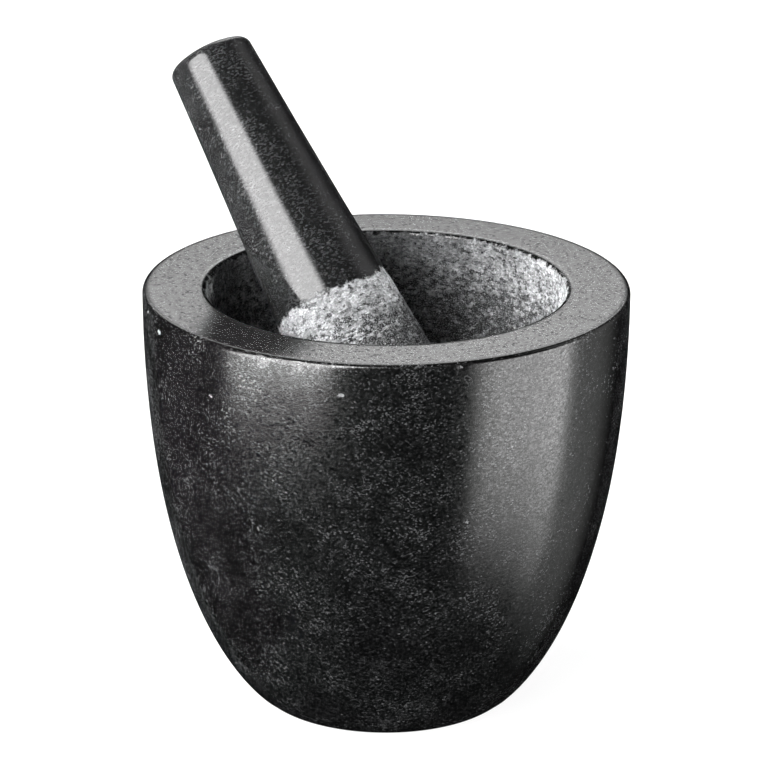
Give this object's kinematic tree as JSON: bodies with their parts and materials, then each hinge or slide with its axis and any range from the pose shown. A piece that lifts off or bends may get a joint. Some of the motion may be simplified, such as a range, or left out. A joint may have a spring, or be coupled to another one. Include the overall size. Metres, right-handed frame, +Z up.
{
  "type": "molcajete",
  "caption": "Polished granite mortar with a deep round bowl and a tapered pestle leaning in it, for grinding spices and sauces.",
  "frame": {"origin": "centre of the mortar's flat base, on the table", "axes": "+Z up along the bowl's axis; -Y towards the viewer; the pestle leans back and to the left, towards -X and +Y"},
  "size_m": [0.14, 0.14, 0.1848],
  "materials": {
    "mortar_stone": "dark granite, polished outside and on the rim, rough-ground inside the bowl",
    "pestle_stone": "dark granite, polished handle, rough-ground head"
  },
  "bodies": {
    "mortar": {"mortar": "mortar_stone"},
    "pestle": {"pestle": "pestle_stone"}
  },
  "joints": [
    {"name": "pestle_lift", "type": "slide", "parent": "mortar", "child": "pestle", "axis": [0, 0, 1], "range_m": [0, 0.12]}
  ]
}
